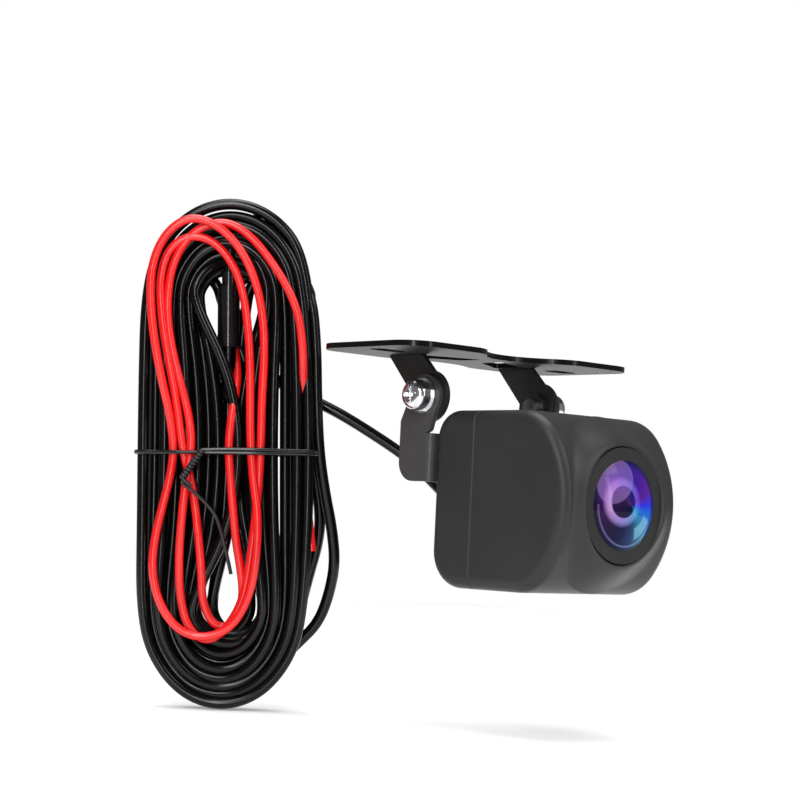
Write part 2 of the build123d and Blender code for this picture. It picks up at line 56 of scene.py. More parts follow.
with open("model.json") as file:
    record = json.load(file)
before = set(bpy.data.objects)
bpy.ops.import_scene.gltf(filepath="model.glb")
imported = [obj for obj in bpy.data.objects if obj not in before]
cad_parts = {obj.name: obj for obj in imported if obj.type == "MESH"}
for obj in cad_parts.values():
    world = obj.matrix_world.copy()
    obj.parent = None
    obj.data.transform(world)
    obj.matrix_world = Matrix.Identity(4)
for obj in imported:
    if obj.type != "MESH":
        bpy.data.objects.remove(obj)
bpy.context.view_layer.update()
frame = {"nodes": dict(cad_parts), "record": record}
nodes = frame["nodes"]

# ---------------------------------------------------------------- sizes, in millimetres
LEAD_D = 1.9
TRIGGER_D = 1.45
TIE_WIRE_D = 0.62
GLASS_R = 7.17
LENS_AXIS_Z = -24.65

# The lead from the gland to the back of the hank
LEAD_ROUTE = [
    (0.0, 1.5, -24.65),
    (0.0, 5.6, -24.65),
    (-0.2, 9.9, -21.6),
    (-3.0, 13.3, -17.6),
    (-8.6, 18.3, -13.1),
    (-13.5, 22.6, -9.6),
    (-19.8, 28.9, -6.2),
    (-23.5, 31.9, -0.7),
]

# The hank's own frame: u across it, v up along it, h out towards the side that faces out
HANK_CENTRE = Vector((-28.5, 30.5, -18.2))
HANK_TURN = radians(43.2)
HANK_LEAN = radians(2.7)
hank_across = Vector((cos(HANK_TURN) * cos(HANK_LEAN), -sin(HANK_TURN) * cos(HANK_LEAN), sin(HANK_LEAN)))
hank_out = Vector((-sin(HANK_TURN), -cos(HANK_TURN), 0))
hank_up = hank_out.cross(hank_across)

# From behind the hank, over its top, down its left side and out in one stray loop at the lower right, then
# once more round the back with a bulge beside that loop
HANK_ENTRY = [
    (0.2, 23.5, -4.3), (-0.6, 30.0, -4.0), (-3.6, 35.4, -3.6), (-8.6, 36.2, -3.2), (-12.0, 31.6, -2.9),
    (-12.6, 23.0, -2.7), (-11.0, 12.0, -2.7), (-10.2, 0.0, -2.7), (-10.6, -13.0, -2.7), (-11.4, -25.0, -2.7),
    (-8.8, -33.0, -2.7), (-3.4, -37.6, -2.7), (2.6, -38.4, -2.8), (8.0, -36.0, -3.0), (11.6, -32.6, -3.0),
    (14.8, -29.4, -2.8), (16.6, -25.0, -2.6), (17.8, -19.2, -2.4), (17.2, -13.0, -2.2), (16.0, -7.0, -1.6),
    (15.0, 0.0, -0.9), (14.6, 9.0, -0.5), (14.5, 18.0, -0.1), (13.7, 27.0, -0.6), (9.0, 37.6, -2.6),
    (0.0, 41.0, -3.2), (-8.8, 37.4, -3.2), (-13.4, 27.0, -3.1), (-13.6, 13.0, -3.1), (-13.6, 0.0, -3.1),
    (-13.8, -13.0, -3.1), (-13.4, -26.0, -3.2), (-8.4, -36.6, -4.4), (0.0, -39.8, -4.9), (7.4, -36.0, -5.0),
    (11.4, -28.0, -4.8), (13.2, -21.0, -4.2), (14.8, -15.6, -3.8), (15.2, -11.0, -3.6), (14.4, -5.4, -3.2),
    (13.6, 0.0, -2.9), (13.6, 9.0, -2.5), (13.8, 18.0, -1.4),
]

# The turns that follow: top, then the left side's upper, middle and lower places, bottom, then the right
# side's lower, middle and upper places, and how far out the turn lies on its left and on its right
TURNS = [
    (42.6, -14.7, -15.0, -15.1, -42.7, 12.4, 13.3, 12.2, 0.9, 0.7),
    (40.6, -13.1, -13.2, -13.9, -41.4, 10.9, 11.4, 10.6, -1.3, 1.0),
    (38.9, -11.7, -11.3, -12.5, -40.0, 9.4, 9.2, 9.1, 0.7, -0.9),
    (37.3, -10.3, -9.4, -11.1, -38.7, 8.0, 7.1, 7.8, -1.1, 0.9),
    (35.8, -9.0, -7.5, -9.8, -37.0, 6.8, 5.2, 6.8, 0.8, -1.0),
    (34.3, -7.9, -5.6, -8.6, -34.4, 5.8, 3.4, 6.4, -1.2, 0.8),
    (36.2, -10.6, -8.6, -11.4, -37.4, 7.2, 6.2, 7.4, -2.9, -2.9),
    (34.6, -8.8, -6.6, -9.6, -36.0, 6.2, 4.4, 11.2, -2.9, -2.8),
    (31.8, -0.2, -1.0, -3.6, -31.8, 8.0, 9.6, 13.6, -3.8, -3.8),
    (31.9, 2.2, 0.4, -3.8, -31.9, 7.8, 4.6, -2.0, -3.7, -3.6),
    (31.8, -13.4, -12.4, -8.4, -31.8, 3.4, 1.2, 6.2, -3.7, -3.5),
    (32.8, -6.6, -3.9, -7.6, -32.4, 5.8, 2.4, 5.9, -2.6, -2.9),
    (31.6, -6.0, -2.1, -6.4, -31.7, 5.8, 0.8, 5.9, -0.9, -2.7),
    (32.2, -6.6, -0.6, -6.6, -32.2, 5.8, -0.8, 6.4, -4.3, -4.4),
    (34.4, -8.4, -3.0, -7.8, -34.4, 6.8, 1.6, 6.8, -4.7, -4.7),
    (32.9, -6.6, 1.8, -6.8, -32.6, 6.0, 2.9, 8.8, 1.9, -1.0),
]
# Where the first turn starts, across and out; then the heights of a side's points and how late the side
# spreads, and the angles of an arc's points in degrees and how far they stand off to round the spline
HANK_START = (14.0, 0.3)
SIDE_STEPS = (26.0, 13.0, 0.0, -13.0, -26.0)
SIDE_CURVE = 2.2
ARC_STEPS = (28, 59, 90, 121, 152)
ARC_SWELL = 1.04

# The lead's last fold, down into the plug in the middle of the hank
HANK_END = [
    (10.8, 31.2, -1.2), (10.4, 37.0, -1.0), (6.2, 40.6, -0.8), (1.2, 39.6, -0.6), (-0.6, 35.2, -0.5),
    (-0.6, 30.7, -0.5),
]

# The red wire, from beside the plug's neck, round three loose turns in front of the black ones
TRIGGER_ROUTE = [
    (-0.6, 31.4, -2.4), (-0.5, 28.0, -3.2), (-0.2, 22.0, -3.2), (0.6, 16.5, -2.2), (1.2, 12.2, 0.6),
    (0.4, 7.4, 2.5), (-0.3, 1.0, 2.9), (0.1, -4.5, 2.9), (0.6, -10.0, 2.9), (1.0, -15.0, 2.4),
    (1.9, -20.0, 2.2), (2.4, -25.0, 2.2), (0.8, -29.6, 2.3), (-2.6, -29.8, 2.5), (-4.6, -25.6, 2.7),
    (-4.7, -20.8, 2.8), (-5.1, -16.0, 2.8), (-5.7, -10.5, 2.7), (-6.6, -5.0, 2.5), (-8.0, 0.0, 2.9),
    (-8.7, 5.4, 2.9), (-9.5, 10.5, 2.9), (-10.9, 17.4, 2.9), (-11.9, 24.2, 2.9), (-12.1, 30.0, 2.9),
    (-10.6, 34.8, 2.9), (-7.0, 37.0, 2.9), (-3.1, 36.1, 2.9), (0.2, 32.4, 2.9), (2.0, 27.7, 2.9),
    (3.0, 21.5, 2.9), (3.4, 14.0, 2.9), (3.4, 7.0, 2.9), (3.5, 1.0, 2.9), (4.0, -5.0, 3.5),
    (4.9, -10.5, 4.3), (4.8, -17.0, 4.4), (3.8, -24.0, 4.4), (0.9, -29.6, 4.4), (-3.6, -31.6, 4.4),
    (-8.0, -30.6, 4.4), (-11.2, -26.8, 4.4), (-12.9, -21.5, 4.2), (-12.8, -16.0, 3.8), (-11.5, -10.0, 3.4),
    (-10.0, -4.2, 3.0), (-9.5, 0.6, 2.9), (-10.2, 6.3, 3.2), (-11.6, 12.2, 3.9), (-12.9, 19.1, 4.2),
    (-13.6, 25.9, 4.3), (-13.4, 31.8, 4.3), (-11.3, 36.8, 4.3), (-7.9, 39.6, 4.3), (-4.6, 39.6, 4.3),
    (-0.8, 37.4, 4.3), (2.3, 33.6, 4.0), (4.5, 28.5, 3.4), (5.6, 22.5, 2.9), (5.8, 16.0, 2.9),
    (5.4, 9.0, 2.9), (5.3, 2.0, 2.9), (5.0, -4.5, 2.7), (4.4, -11.0, 2.6), (3.6, -18.0, 2.6),
    (2.4, -25.4, 2.7), (-0.8, -30.6, 2.8), (-4.1, -32.3, 2.9), (-7.1, -29.8, 3.0), (-8.4, -24.0, 3.1),
    (-8.5, -17.7, 3.4), (-8.0, -10.9, 3.9), (-7.3, -4.8, 3.9), (-6.5, 0.5, 2.9), (-6.8, 5.0, 2.9),
    (-7.9, 9.7, 2.9), (-9.6, 15.7, 2.9), (-10.7, 21.7, 2.9), (-10.8, 26.8, 2.9), (-10.0, 32.0, 2.9),
    (-7.6, 36.4, 2.9), (-4.1, 38.9, 2.9), (-0.2, 39.2, 2.9), (3.6, 36.6, 2.9), (6.8, 32.6, 2.9),
    (9.7, 28.0, 3.0), (11.6, 23.4, 3.0), (12.3, 18.2, 2.8), (12.4, 13.0, 1.6), (12.3, 8.0, -0.6),
    (12.3, 1.0, -1.2), (12.4, -4.0, -1.0), (13.0, -9.5, -0.3), (13.6, -13.6, 0.2), (13.9, -17.0, 0.4),
]

# The tie's two laps: places across the hank, and how far out each lies in front of it or behind it
TIE_RING = [
    (-4.6, 4.3), (0.0, 4.15), (5.6, 4.1), (8.2, 3.2), (12.0, 2.7), (13.6, 2.2), (14.8, 0.9), (14.8, -1.6),
    (13.8, -3.9), (9.0, -4.6), (0.0, -4.6), (-9.0, -4.5), (-13.6, -3.7), (-16.2, -1.4), (-16.4, 0.9),
    (-15.0, 2.5), (-12.0, 2.9), (-9.8, 4.1),
]
TIE_KNOT = Vector((-4.6, 0.0, 4.4))
TIE_TWIST_END = Vector((-7.7, -4.6, 5.9))
# Each lap's height, how far the first drops to meet the second, and how far both fall towards the right
TIE_LAPS = (0.3, -0.34)
TIE_LAP_DROP = 0.64
TIE_TILT = 0.012
TIE_TWISTS = 4.5
TIE_TWIST_R = 0.36
TIE_TAIL = [(-8.0, -5.4, 5.7), (-6.4, -6.4, 5.5), (-3.0, -9.6, 5.2), (-1.3, -12.6, 5.0), (0.4, -20.8, 4.2)]
TIE_STUB = [(-7.2, -5.2, 6.2), (-6.2, -6.0, 6.0)]


def in_hank(u, v, h):
    """A place in the hank's own frame, in millimetres, as a place in the part's frame, in metres."""
    return (HANK_CENTRE + hank_across * u + hank_up * v + hank_out * h) * MM


# ---------------------------------------------------------------- shader helpers
def linear(hex_colour):
    """An sRGB hex colour as linear red, green, blue and alpha."""
    channels = [int(hex_colour[i:i + 2], 16) / 255 for i in (0, 2, 4)]
    return (*[c / 12.92 if c <= 0.04045 else ((c + 0.055) / 1.055) ** 2.4 for c in channels], 1.0)


def node(tree, kind, values=None, links=None, stops=None, **settings):
    """Adds a node with its properties, its own socket values, the sockets that feed it and its ramp stops."""
    made = tree.nodes.new(kind)
    for name, value in settings.items():
        setattr(made, name, value)
    for name, value in (values or {}).items():
        made.inputs[name].default_value = value
    for name, source in (links or {}).items():
        tree.links.new(source, made.inputs[name])
    if stops:
        ramp = made.color_ramp.elements
        while len(ramp) < len(stops):
            ramp.new(1.0)
        for element, (place, colour) in zip(ramp, stops):
            element.position = place
            element.color = linear(colour) if isinstance(colour, str) else (colour, colour, colour, 1)
    return made


def material(name):
    """A new empty material, its node tree and its object coordinates."""
    made = bpy.data.materials.new(name)
    made.use_nodes = True
    tree = made.node_tree
    tree.nodes.clear()
    place = node(tree, "ShaderNodeTexCoord").outputs["Object"]
    return made, tree, place


def finish_with(tree, values, links):
    """Ends a tree in one Principled surface."""
    skin = node(tree, "ShaderNodeBsdfPrincipled", values, links)
    node(tree, "ShaderNodeOutputMaterial", links={"Surface": skin.outputs["BSDF"]})


def per_metre(size_mm):
    """A noise or voronoi scale that gives one feature in this many millimetres."""
    return 1 / (size_mm * MM)


def moulded(name, light, dark, grain, relief, rough, cloud=9.0, **values):
    """Moulded plastic or rubber: two close shades in soft clouds, an even grain and a band of roughness."""
    made, tree, place = material(name)
    clouds = node(tree, "ShaderNodeTexNoise", {"Scale": per_metre(cloud), "Detail": 3.0}, {"Vector": place})
    shade = node(tree, "ShaderNodeValToRGB", links={"Fac": clouds.outputs["Fac"]},
                 stops=[(0.3, dark), (0.7, light)])
    grit = node(tree, "ShaderNodeTexNoise", {"Scale": per_metre(grain), "Detail": 2.0}, {"Vector": place})
    sheen = node(tree, "ShaderNodeMapRange", {"To Min": rough[0], "To Max": rough[1]},
                 {"Value": grit.outputs["Fac"]})
    bump = node(tree, "ShaderNodeBump", {"Strength": 0.2, "Distance": relief * MM},
                {"Height": grit.outputs["Fac"]})
    finish_with(tree, {"IOR": 1.46, **values},
                {"Base Color": shade.outputs["Color"], "Roughness": sheen.outputs["Result"],
                 "Normal": bump.outputs["Normal"]})
    return made


def plated(name, light, dark, rough, scratch, metallic=1.0):
    """Plated or turned metal: bright, with fine drawn marks that vary its shine."""
    made, tree, place = material(name)
    drawn = node(tree, "ShaderNodeMapping", {"Scale": (1.0, 1.0, 0.15)}, {"Vector": place})
    marks = node(tree, "ShaderNodeTexNoise", {"Scale": per_metre(scratch), "Detail": 4.0},
                 {"Vector": drawn.outputs["Vector"]})
    shade = node(tree, "ShaderNodeValToRGB", links={"Fac": marks.outputs["Fac"]},
                 stops=[(0.35, dark), (0.65, light)])
    shine = node(tree, "ShaderNodeMapRange", {"To Min": rough[0], "To Max": rough[1]},
                 {"Value": marks.outputs["Fac"]})
    bump = node(tree, "ShaderNodeBump", {"Strength": 0.2, "Distance": 0.02 * MM},
                {"Height": marks.outputs["Fac"]})
    finish_with(tree, {"Metallic": metallic},
                {"Base Color": shade.outputs["Color"], "Roughness": shine.outputs["Result"],
                 "Normal": bump.outputs["Normal"]})
    return made


# The punched edge, which is painted darker as shade: how far down it reaches, in millimetres, and how little of
# its normal may point up
PLATE_EDGE_DEPTH = 1.0
EDGE_SLANT = 0.6


def plate_with_painted_edge_shade():
    """Powder-coated sheet whose sideways-facing punched edge, near the top of the plate, is glossy and painted
    darker than its faces as shade.
    """
    made, tree, place = material("powder_coated_plate_edge_shade")
    split = node(tree, "ShaderNodeSeparateXYZ", links={"Vector": place})
    facing = node(tree, "ShaderNodeSeparateXYZ",
                  links={"Vector": node(tree, "ShaderNodeNewGeometry").outputs["Normal"]})
    sideways = node(tree, "ShaderNodeMath", links={0: facing.outputs["Z"]}, operation="ABSOLUTE")
    sideways = node(tree, "ShaderNodeMath", {1: EDGE_SLANT}, {0: sideways.outputs["Value"]},
                    operation="LESS_THAN")
    high = node(tree, "ShaderNodeMath", {1: -PLATE_EDGE_DEPTH * MM}, {0: split.outputs["Z"]},
                operation="GREATER_THAN")
    edge = node(tree, "ShaderNodeMath", links={0: sideways.outputs["Value"], 1: high.outputs["Value"]},
                operation="MULTIPLY")
    peel = node(tree, "ShaderNodeTexNoise", {"Scale": per_metre(0.8), "Detail": 2.0}, {"Vector": place})
    shade = node(tree, "ShaderNodeValToRGB", links={"Fac": peel.outputs["Fac"]},
                 stops=[(0.3, "1e1e1e"), (0.7, "272727")])
    # Painted shade: the sideways-facing edge takes a near-black colour
    colour = node(tree, "ShaderNodeMix", {7: linear("080808")},
                  {"Factor": edge.outputs["Value"], 6: shade.outputs["Color"]}, data_type="RGBA")
    rough = node(tree, "ShaderNodeMapRange", {"To Min": 0.4, "To Max": 0.2}, {"Value": edge.outputs["Value"]})
    bump = node(tree, "ShaderNodeBump", {"Strength": 0.35, "Distance": 0.03 * MM},
                {"Height": peel.outputs["Fac"]})
    finish_with(tree, {"IOR": 1.3}, {"Base Color": colour.outputs[2], "Roughness": rough.outputs["Result"],
                                     "Normal": bump.outputs["Normal"]})
    return made


# Painted lens colours: painted shade for the dark throat, painted reflections for the oval and the patch
THROAT_PAINTED_SHADE = linear("051426")
OVAL_PAINTED_REFLECTION = linear("c99bf0")
PATCH_PAINTED_REFLECTION = linear("86cdea")


def painted_lens_glow():
    """Front element with painted coating reflections that glow: violet, blue and cyan flares over a dark throat
    of painted shade.
    """
    made, tree, place = material("lens_painted_reflections_glow")
    face = node(tree, "ShaderNodeMapping",
                {"Location": (0, 0, -LENS_AXIS_Z / GLASS_R), "Scale": (per_metre(GLASS_R),) * 3},
                {"Vector": place}, vector_type="POINT")
    split = node(tree, "ShaderNodeSeparateXYZ", links={"Vector": face.outputs["Vector"]})
    flat = node(tree, "ShaderNodeCombineXYZ", links={"X": split.outputs["X"], "Y": split.outputs["Z"]})
    flat = flat.outputs["Vector"]
    radius = node(tree, "ShaderNodeVectorMath", links={0: flat}, operation="LENGTH").outputs["Value"]
    turn = node(tree, "ShaderNodeTexGradient", links={"Vector": flat}, gradient_type="RADIAL").outputs["Fac"]

    # Two rings of painted reflection colour round the face, one for the wide field and one for the bright inner
    # ring
    field = node(tree, "ShaderNodeValToRGB", links={"Fac": turn}, stops=[
        (0.0, "401058"), (0.12, "140634"), (0.2, "040640"), (0.28, "06366a"), (0.36, "1583b0"),
        (0.46, "1f6fe0"), (0.51, "2b35e6"), (0.57, "5b1d9c"), (0.66, "4a179a"), (0.76, "2b2299"),
        (0.88, "7440b4"), (1.0, "401058")])
    ring = node(tree, "ShaderNodeValToRGB", links={"Fac": turn}, stops=[
        (0.0, "eab2ff"), (0.14, "b9a0ff"), (0.25, "8fb4ff"), (0.36, "67ccf2"), (0.48, "5c86f2"),
        (0.6, "8a55e8"), (0.75, "7f78f4"), (0.9, "d79cff"), (1.0, "eab2ff")])

    def over(below, above, cover, amount):
        """Lays a plain colour or a pattern over another, as far as its cover and amount allow."""
        plain = isinstance(above, tuple)
        strength = node(tree, "ShaderNodeMath", {1: amount}, {0: cover}, operation="MULTIPLY")
        layers = {"Factor": strength.outputs["Value"], 6: below}
        if not plain:
            layers[7] = above
        return node(tree, "ShaderNodeMix", {7: above} if plain else None, layers, data_type="RGBA").outputs[2]

    # Painted shade: the dark throat, seen a little off the middle, and the dark edge
    throat = node(tree, "ShaderNodeMapping", {"Location": (0.24, -0.08, 0)}, {"Vector": flat})
    throat_r = node(tree, "ShaderNodeVectorMath", links={0: throat.outputs["Vector"]}, operation="LENGTH")
    throat_r = throat_r.outputs["Value"]
    depth = node(tree, "ShaderNodeValToRGB", links={"Fac": throat_r},
                 stops=[(0.0, 1.0), (0.2, 0.75), (0.34, 0.55), (0.5, 0.0)])
    edge = node(tree, "ShaderNodeValToRGB", links={"Fac": radius},
                stops=[(0.78, 0.0), (0.95, 0.75), (1.0, 1.0)])
    colour = over(field.outputs["Color"], THROAT_PAINTED_SHADE, depth.outputs["Color"], 0.8)
    colour = over(colour, THROAT_PAINTED_SHADE, edge.outputs["Color"], 0.9)

    # A painted bright reflection ring round the throat
    band = node(tree, "ShaderNodeValToRGB", links={"Fac": throat_r},
                stops=[(0.34, 0.0), (0.37, 1.0), (0.46, 0.8), (0.57, 0.0)])
    colour = over(colour, ring.outputs["Color"], band.outputs["Color"], 0.72)

    # A pale oval reflection leaning over the upper left
    oval = node(tree, "ShaderNodeMapping",
                {"Location": (-0.4, 0.52, 0), "Rotation": (0, 0, radians(42)), "Scale": (0.6, 0.42, 1)},
                {"Vector": flat}, vector_type="TEXTURE")
    oval_r = node(tree, "ShaderNodeVectorMath", links={0: oval.outputs["Vector"]}, operation="LENGTH")
    oval_cover = node(tree, "ShaderNodeValToRGB", links={"Fac": oval_r.outputs["Value"]},
                      stops=[(0.0, 0.5), (0.94, 0.8), (1.0, 0.0)])
    colour = over(colour, OVAL_PAINTED_REFLECTION, oval_cover.outputs["Color"], 0.36)

    # A painted pale cyan reflection patch at the lower right
    patch_turn = node(tree, "ShaderNodeValToRGB", links={"Fac": turn},
                      stops=[(0.3, 0.0), (0.31, 1.0), (0.43, 0.9), (0.45, 0.0)])
    patch_out = node(tree, "ShaderNodeValToRGB", links={"Fac": radius},
                     stops=[(0.5, 0.0), (0.53, 1.0), (0.78, 0.8), (0.8, 0.0)])
    patch = node(tree, "ShaderNodeMath", operation="MULTIPLY",
                 links={0: patch_turn.outputs["Color"], 1: patch_out.outputs["Color"]})
    colour = over(colour, PATCH_PAINTED_REFLECTION, patch.outputs["Value"], 0.6)

    # A painted thin arc of reflection inside the rim, brightest below
    arc_turn = node(tree, "ShaderNodeValToRGB", links={"Fac": turn},
                    stops=[(0.0, 0.35), (0.2, 0.6), (0.38, 1.0), (0.45, 0.6), (0.48, 0.0)])
    arc_out = node(tree, "ShaderNodeValToRGB", links={"Fac": radius},
                   stops=[(0.87, 0.0), (0.885, 1.0), (0.91, 1.0), (0.925, 0.0)])
    arc = node(tree, "ShaderNodeMath", operation="MULTIPLY",
               links={0: arc_turn.outputs["Color"], 1: arc_out.outputs["Color"]})
    colour = over(colour, ring.outputs["Color"], arc.outputs["Value"], 0.5)
    # The painted colours are sent out as emission, so the glass glows though it is no lamp
    finish_with(tree, {"Base Color": linear("050510"), "Roughness": 0.05, "IOR": 1.18,
                       "Emission Strength": 0.85}, {"Emission Color": colour})
    return made


FINISHES = {
    # Satin ABS from a spark-eroded tool: an even dull grey-black that only glows along its bends
    "housing_black": moulded("satin_abs_housing", "2b2b2c", "272728", 0.35, 0.02, (0.36, 0.44), IOR=1.3),
    # Smoother ABS: a shade darker than the housing round it
    "bezel_black": moulded("smooth_abs_bezel", "20211f", "1c1d1b", 0.3, 0.01, (0.4, 0.48), IOR=1.35),
    # Semi-gloss powder coat: a faint orange peel breaks up its highlights
    "bracket_black": moulded("powder_coated_steel", "3e3e3e", "363636", 0.8, 0.03, (0.3, 0.42), IOR=1.4),
    # Bright zinc on pressed screw heads and washers: nearly a mirror, slightly clouded
    "screw_steel": plated("bright_zinc_plate", "e6e6e8", "b9babd", (0.12, 0.24), 0.7),
    # Black oxide on small screws: dark metal with a dull gleam
    "screw_dark": plated("black_oxide_screw", "3a3a3c", "202022", (0.3, 0.45), 0.4),
    # Front glass with painted coating reflections that glow: saturated violet, blue and cyan flares over a dark
    # throat of painted shade
    "glass": painted_lens_glow(),
    # Infra-red filter: a deep red-violet pane
    "ir_glass": moulded("infra_red_filter_glass", "5a1830", "401022", 1.0, 0.002, (0.05, 0.08)),
    # Silicone seal: soft, dull and nearly black
    "seal_rubber": moulded("silicone_rubber", "242424", "1b1b1b", 0.4, 0.02, (0.55, 0.7)),
    # Black anodised barrel: dark, with turning marks
    "barrel_alloy": plated("black_anodised_barrel", "2b2b2e", "1a1a1c", (0.3, 0.4), 0.25),
    # Glass-filled plastic: dull, with a rough grain
    "holder_plastic": moulded("glass_filled_nylon", "2a2a2a", "202020", 0.25, 0.03, (0.5, 0.65)),
    # Solder-masked board: glossy green in patches of copper below
    "board_green": moulded("solder_masked_board", "1d5a36", "134428", 1.6, 0.03, (0.25, 0.4), cloud=3.0),
    # Turned brass spacers: warm, with bright lines
    "brass": plated("turned_brass", "c8a24a", "9c7a34", (0.2, 0.35), 0.3),
    # Moulded epoxy chips: flat black with a fine pitted skin
    "chip_black": moulded("moulded_epoxy", "202124", "17181a", 0.2, 0.02, (0.45, 0.6)),
    # Nylon header: slightly waxy off-white
    "header_white": moulded("natural_nylon", "ddd8c8", "cbc5b2", 0.6, 0.01, (0.35, 0.5)),
    # Thin PVC cores: shiny red skin
    "wire_core": moulded("core_pvc", "a81c1c", "8c1414", 0.5, 0.01, (0.3, 0.4)),
    # Glossy extruded PVC sheath: near black, with long bright streaks
    "cable_black": moulded("extruded_black_pvc", "070708", "040405", 0.9, 0.012, (0.14, 0.22), cloud=14.0,
                           IOR=1.34),
    # Glossy red insulation: strong colour, slightly waxy in its highlights
    "cable_red": moulded("extruded_red_pvc", "e21717", "c90f10", 0.8, 0.012, (0.2, 0.3), cloud=10.0, IOR=1.52),
    # Plastic-covered tie wire: glossy black
    "tie_black": moulded("coated_tie_wire", "141415", "0c0c0d", 0.5, 0.01, (0.16, 0.24)),
    # Moulded plug body: smooth glossy black
    "plug_black": moulded("moulded_plug_pvc", "121213", "0b0b0c", 0.7, 0.01, (0.12, 0.2)),
    # Black nickel on the plug's pin: dark and mirror-like
    "plug_metal": plated("black_nickel_plate", "2c2c2e", "1c1c1e", (0.16, 0.28), 0.4),
}

slots = {part["node"]: part["material_slot"] for part in frame["record"]["subparts"]}
for name, part in nodes.items():
    part.data.materials.clear()
    part.data.materials.append(FINISHES[slots[name]])
# The plate: dull grey faces inside a glossy outline painted black as shade
nodes["mounting_plate"].data.materials[0] = plate_with_painted_edge_shade()


# ---------------------------------------------------------------- cords
def route_curve(name, places):
    """One smooth open spline with these places, in metres, as its control points."""
    curve = bpy.data.curves.new(name, "CURVE")
    curve.dimensions = "3D"
    curve.resolution_u = 8
    spline = curve.splines.new("NURBS")
    spline.points.add(len(places) - 1)
    for point, place in zip(spline.points, places):
        point.co = (*place, 1)
    spline.order_u = 3
    spline.use_endpoint_u = True
    route = bpy.data.objects.new(name, curve)
    bpy.context.collection.objects.link(route)
    return route


def sheath_tree():
    """Geometry nodes that sweep a round section along a route and cap its ends."""
    tree = bpy.data.node_groups.new("round_sheath", "GeometryNodeTree")
    face = tree.interface
    face.new_socket("Geometry", in_out="INPUT", socket_type="NodeSocketGeometry")
    face.new_socket("Diameter", in_out="INPUT", socket_type="NodeSocketFloat")
    face.new_socket("Sides", in_out="INPUT", socket_type="NodeSocketInt")
    face.new_socket("Finish", in_out="INPUT", socket_type="NodeSocketMaterial")
    face.new_socket("Geometry", in_out="OUTPUT", socket_type="NodeSocketGeometry")
    given = node(tree, "NodeGroupInput")
    half = node(tree, "ShaderNodeMath", {1: 0.5}, {0: given.outputs["Diameter"]}, operation="MULTIPLY")
    section = node(tree, "GeometryNodeCurvePrimitiveCircle",
                   links={"Radius": half.outputs["Value"], "Resolution": given.outputs["Sides"]})
    swept = node(tree, "GeometryNodeCurveToMesh", {"Fill Caps": True},
                 {"Curve": given.outputs["Geometry"], "Profile Curve": section.outputs["Curve"]})
    smooth = node(tree, "GeometryNodeSetShadeSmooth", links={"Geometry": swept.outputs["Mesh"]})
    real = node(tree, "GeometryNodeRealizeInstances", links={"Geometry": smooth.outputs["Geometry"]})
    coloured = node(tree, "GeometryNodeSetMaterial",
                    links={"Geometry": real.outputs["Geometry"], "Material": given.outputs["Finish"]})
    node(tree, "NodeGroupOutput", links={"Geometry": coloured.outputs["Geometry"]})
    return tree


sheath = sheath_tree()
sheath_inputs = {item.name: item.identifier for item in sheath.interface.items_tree if item.in_out == "INPUT"}


def plain_mesh(source):
    """The object's shown shape as a mesh of its own."""
    shown = source.evaluated_get(bpy.context.evaluated_depsgraph_get())
    return bpy.data.meshes.new_from_object(shown)


def tube(name, places, diameter, finish, sides=16):
    """A round tube along a smooth spline, and the points that it follows."""
    route = route_curve(name + "_route", places)
    line = [tuple(vertex.co) for vertex in plain_mesh(route).vertices]
    swept = route.modifiers.new("sheath", "NODES")
    swept.node_group = sheath
    swept[sheath_inputs["Diameter"]] = diameter * MM
    swept[sheath_inputs["Sides"]] = sides
    swept[sheath_inputs["Finish"]] = finish
    mesh = plain_mesh(route)
    bpy.data.objects.remove(route)
    piece = bpy.data.objects.new(name, mesh)
    bpy.context.collection.objects.link(piece)
    return piece, line


def between(low, middle, high, share):
    """A side's place at a share from -1, its lower end, to 1, its upper end, through its middle."""
    end = high if share > 0 else low
    return middle + (end - middle) * abs(share) ** SIDE_CURVE


def hank_turns():
    """The control points of the hank's loose turns, one after another: top, left side, bottom, right side."""
    places = []
    right_up, right_height = HANK_START
    reach = SIDE_STEPS[0]
    for top, left_up, left_mid, left_low, bottom, low, middle, high, out_left, out_right in TURNS:
        for angle in ARC_STEPS:
            swing = cos(radians(angle))
            u = (right_up + left_up) / 2 + (right_up - left_up) / 2 * swing
            h = (right_height + out_left) / 2 + (right_height - out_left) / 2 * swing
            places.append((u, reach + (top - reach) * sin(radians(angle)) * ARC_SWELL, h))
        for v in SIDE_STEPS:
            places.append((between(left_low, left_mid, left_up, v / reach), v, out_left))
        for angle in ARC_STEPS:
            swing = cos(radians(angle))
            u = (left_low + low) / 2 + (left_low - low) / 2 * swing
            h = (out_left + out_right) / 2 + (out_left - out_right) / 2 * swing
            places.append((u, -reach + (bottom + reach) * sin(radians(angle)) * ARC_SWELL, h))
        for v in reversed(SIDE_STEPS):
            places.append((between(low, middle, high, v / reach), v, out_right))
        right_up, right_height = high, out_right
    return places


lead_places = [Vector(place) * MM for place in LEAD_ROUTE]
lead_places += [in_hank(*place) for place in HANK_ENTRY + hank_turns() + HANK_END]
camera_cable, camera_line = tube("wound_lead", lead_places, LEAD_D, FINISHES["cable_black"])
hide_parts("camera_lead", "lead_tail", "cable_hank")
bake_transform(camera_cable)

trigger_places = [in_hank(*place) for place in TRIGGER_ROUTE]
trigger_wire, trigger_line = tube("trigger_wire", trigger_places, TRIGGER_D, FINISHES["cable_red"], sides=14)
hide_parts("trigger_hank")
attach(trigger_wire, "plate")


def twist(start, end, phase, steps_per_turn=12):
    """Control points of one wire of a twisted pair, from start to end."""
    axis = (end - start).normalized()
    across = axis.cross(Vector((0, 0, 1))).normalized()
    count = int(TIE_TWISTS * steps_per_turn)
    places = []
    for step in range(count + 1):
        angle = 2 * pi * step / steps_per_turn + phase
        centre = start.lerp(end, step / count)
        places.append(centre + (across * cos(angle) + axis.cross(across) * sin(angle)) * TIE_TWIST_R)
    return places


